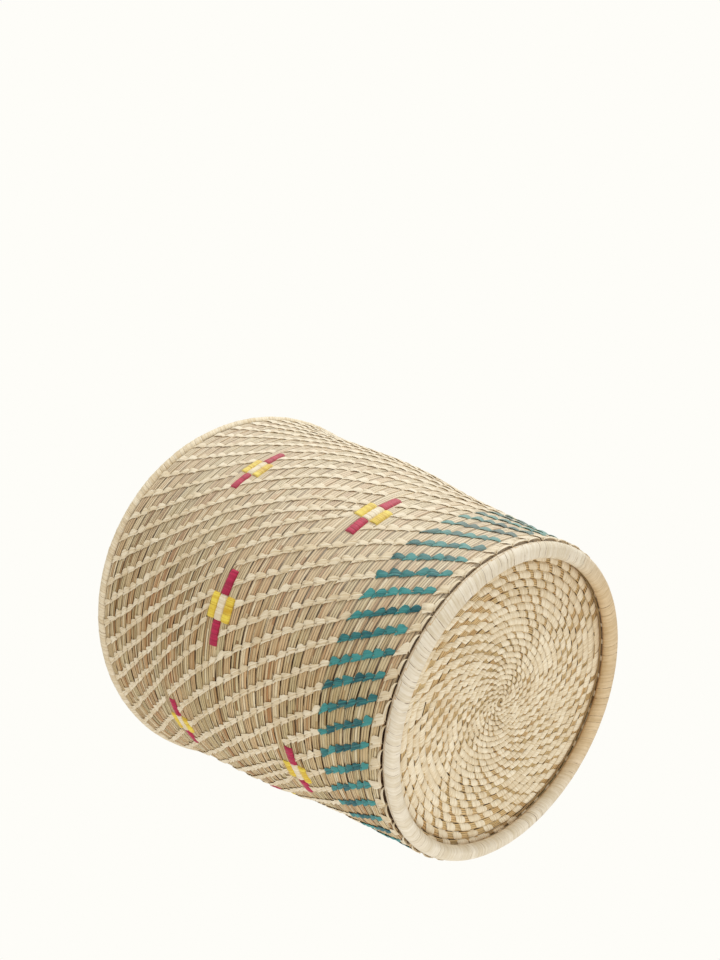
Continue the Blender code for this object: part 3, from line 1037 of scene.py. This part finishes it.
# %% Sew the groove above the foot ring
SEAM_STRAND = (
    # share of its length, lower edge, upper edge, middle, half split, split depth, depth
    (0.00, -0.6, 0.6, 0.0, 0.3, 0.0, 1.20),
    (0.07, -1.0, 0.9, 0.0, 0.4, 0.0, -0.40),
    (0.35, -1.3, 1.3, 0.0, 0.4, 0.0, -1.10),
    (0.70, -1.3, 1.2, 0.0, 0.4, 0.0, -1.10),
    (0.94, -1.0, 0.8, 0.0, 0.4, 0.0, -0.40),
    (1.02, -0.6, 0.6, 0.0, 0.3, 0.0, 1.20),
)
SEAM_FROM, SEAM_TO = -0.08, -0.20  # the courses at a strand's two ends
SEAM_LENGTH = (0.65, 0.98)  # shares of the way to the next column
SEAM_DROP = 1.3 * MM  # how far the strand sags towards the ring
STRAND_LENGTH = 12 * MM  # along a strand, for its pattern


def sew_foot_seam():
    bm, verts, (flat, rise, sink) = copies(SEAM_STRAND, FIRST_COLUMNS)
    roots = np.array([column[0] for column in columns[:FIRST_COLUMNS]])[:, None]
    angle = roots + rise * (math.tau / FIRST_COLUMNS * rng.uniform(*SEAM_LENGTH, (FIRST_COLUMNS, 1)))
    course = SEAM_FROM + (SEAM_TO - SEAM_FROM) * rise + flat * MM / wall.pitch[1]
    points = wall.place(angle, np.maximum(course, wall.start), sink * MM)
    points[:, :, 2] -= SEAM_DROP
    across, along = flat * MM, rise * STRAND_LENGTH
    finish_stitches("foot_seam", bm, verts, points, across, along, palms["plain"], "pale_palm")


sew_foot_seam()
print(FIRST_COLUMNS, "strands above the foot ring")

# %% [markdown]
# The base is sewn the same way, but its strips aren't split: each is a plain block that goes over one turn
# and between it and the next. The maker sets each block over the gap between two blocks of the turn before,
# like bricks, and sets two blocks over one gap when the gaps have grown too wide. That draws the swirl.

# %% Sew the base
SPACING_AT = np.array([0, 10, 20, 46, 80, 100]) * MM  # distance from the middle
SPACING = np.array([2.8, 3.6, 4.8, 8.0, 11.2, 12.4]) * MM  # from one stitch to the next
BLOCK = np.array([2.3, 3.1, 4.2, 6.9, 8.8, 9.3]) * MM  # width of a stitch
IN_FIRST_TURN = 10
FIRST_TURN = 0.9  # the turn at which the sewing starts
LAST_STITCH = 0.15  # turns: no stitch is nearer than this to the edge
OVER_THE_GAP = 0.56  # where in the gap below a block sits
TWO_OVER_THE_GAP = (0.25, 0.75)
SLANT = 0.45  # metres to the side for each metre outwards
BLOCK_VARIES, BLOCK_LIMITS = 0.12, (0.75, 1.25)
BLOCK_SLIP = 0.07  # of its width
BLOCK_LIFT = 0.06  # mm
BLOCK_LENGTH = 5 * MM  # along a block, for its pattern


def base_stitches():
    """The turn at the middle of every stitch of the base, from the middle outwards."""
    turns = list(FIRST_TURN + np.arange(IN_FIRST_TURN + 1) / IN_FIRST_TURN)
    below, wide = 0, 0.0
    while turns[-1] < base.count - LAST_STITCH:
        start, gap = turns[below] + 1, turns[below + 1] - turns[below]
        radius = base.radius(start)
        wide += gap * math.tau * radius / np.interp(radius, SPACING_AT, SPACING) - 1
        shares = TWO_OVER_THE_GAP if wide > 0.5 else (OVER_THE_GAP,)
        wide -= len(shares) - 1
        turns += [start + share * gap for share in shares]
        below += 1
    return np.array(turns)


def sew_base(name, turns, inside):
    bm, verts, (flat, rise, sink) = copies(BASE_STITCH, len(turns))
    each = (len(turns), 1)
    middles = turns[:, None]
    half = np.interp(base.radius(middles), SPACING_AT, BLOCK) / 2
    wide = half * rng.normal(1.0, BLOCK_VARIES, each).clip(*BLOCK_LIMITS)
    slip = rng.normal(0.0, BLOCK_SLIP, each) * wide * 2
    course = np.minimum(middles + rise, base.count - 0.02)
    across = flat * wide
    slanted = across + slip - SLANT * rise * base.read(base.pitch, middles)
    angle = turn_angle(middles) + slanted / np.maximum(base.radius(course), 2 * MM)
    depth = (sink + rng.normal(0.0, BLOCK_LIFT, each)) * MM
    points = base.place(angle, course, base.thickness - depth if inside else depth)
    finish_stitches(name, bm, verts, points, across, rise * BLOCK_LENGTH, palms["base"], "pale_palm")


base_turns = base_stitches()
sew_base("base_stitches_outside", base_turns, False)
sew_base("base_stitches_inside", base_turns, True)
print(len(base_turns), "stitches on the base")
